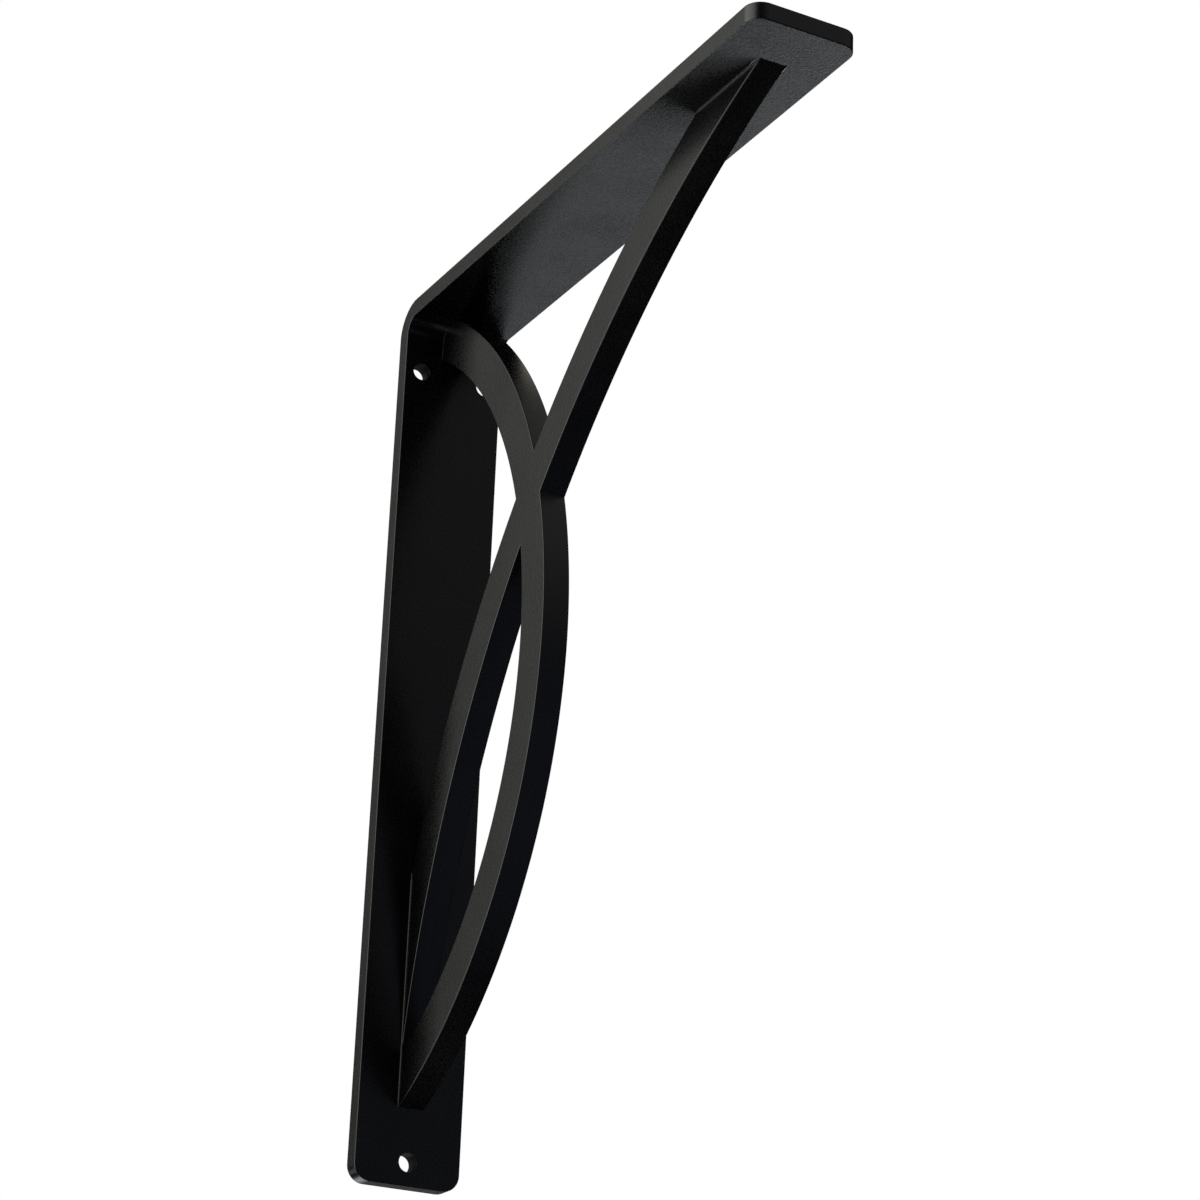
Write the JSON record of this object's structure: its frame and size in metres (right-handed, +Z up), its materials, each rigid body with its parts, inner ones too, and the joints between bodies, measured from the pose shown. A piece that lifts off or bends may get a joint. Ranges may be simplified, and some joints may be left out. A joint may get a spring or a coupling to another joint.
{
  "type": "wrought iron bracket",
  "caption": "Wrought iron shelf bracket: a flat strap bent to a right angle, held by a brace of crossing curved bars, with screw holes in the wall leg.",
  "frame": {"origin": "centre of the strap's flat face on the wall", "axes": "+Y into the wall, so the bracket stands out towards -Y; +Z up; +X to the right as seen from the room"},
  "size_m": [0.0508, 0.328, 0.424],
  "materials": {
    "strap_coat": "satin",
    "brace_coat": "satin"
  },
  "bodies": {
    "root": {"bent_strap": "strap_coat", "crossed_brace": "brace_coat"}
  },
  "joints": []
}
